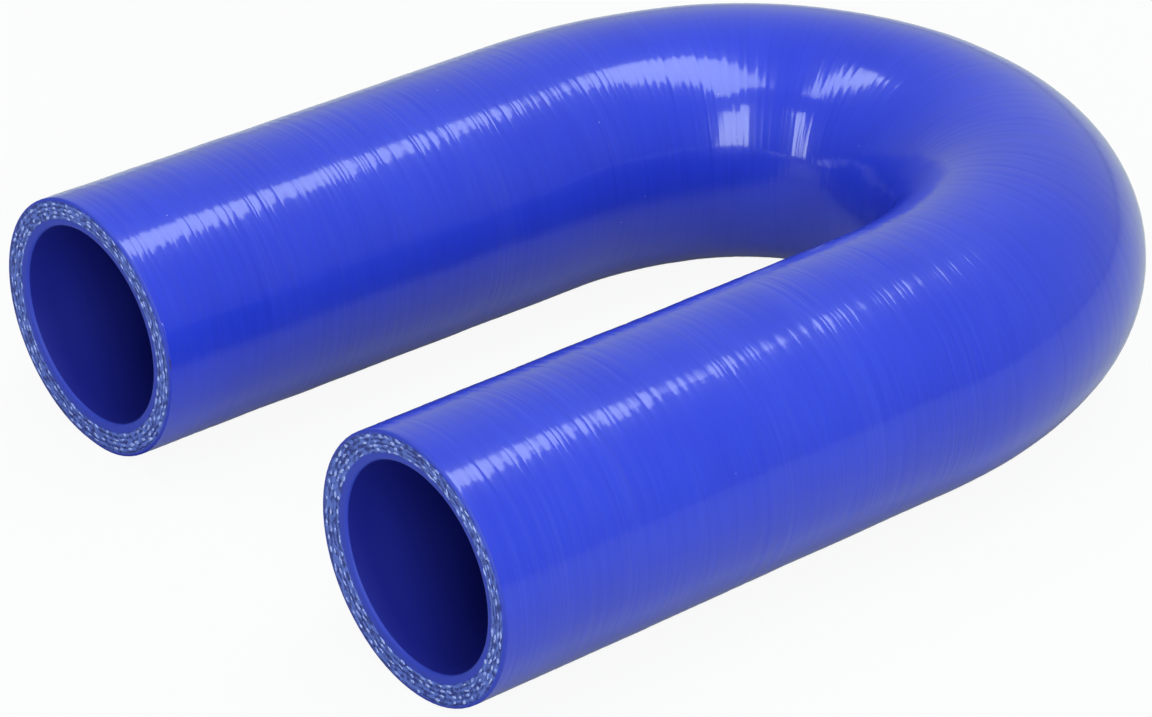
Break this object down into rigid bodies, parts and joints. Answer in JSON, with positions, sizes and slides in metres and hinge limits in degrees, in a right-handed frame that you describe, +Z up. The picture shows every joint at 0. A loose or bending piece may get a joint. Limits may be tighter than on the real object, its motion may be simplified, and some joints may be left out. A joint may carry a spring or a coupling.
{
  "type": "silicone u-bend hose",
  "caption": "Moulded silicone hose bent back on itself in a U, with near-parallel legs of unequal length and square-cut open ends that push over pipe stubs and take a clamp.",
  "frame": {"origin": "under the middle of the hose's bounding box, on the surface that it lies on", "axes": "+Z up, square to the plane of the bend; +Y from the open ends towards the bend; +X from the short leg towards the long leg"},
  "size_m": [0.1414, 0.179, 0.0455],
  "materials": {
    "silicone": "gloss"
  },
  "bodies": {
    "root": {"hose": "silicone"}
  },
  "joints": []
}
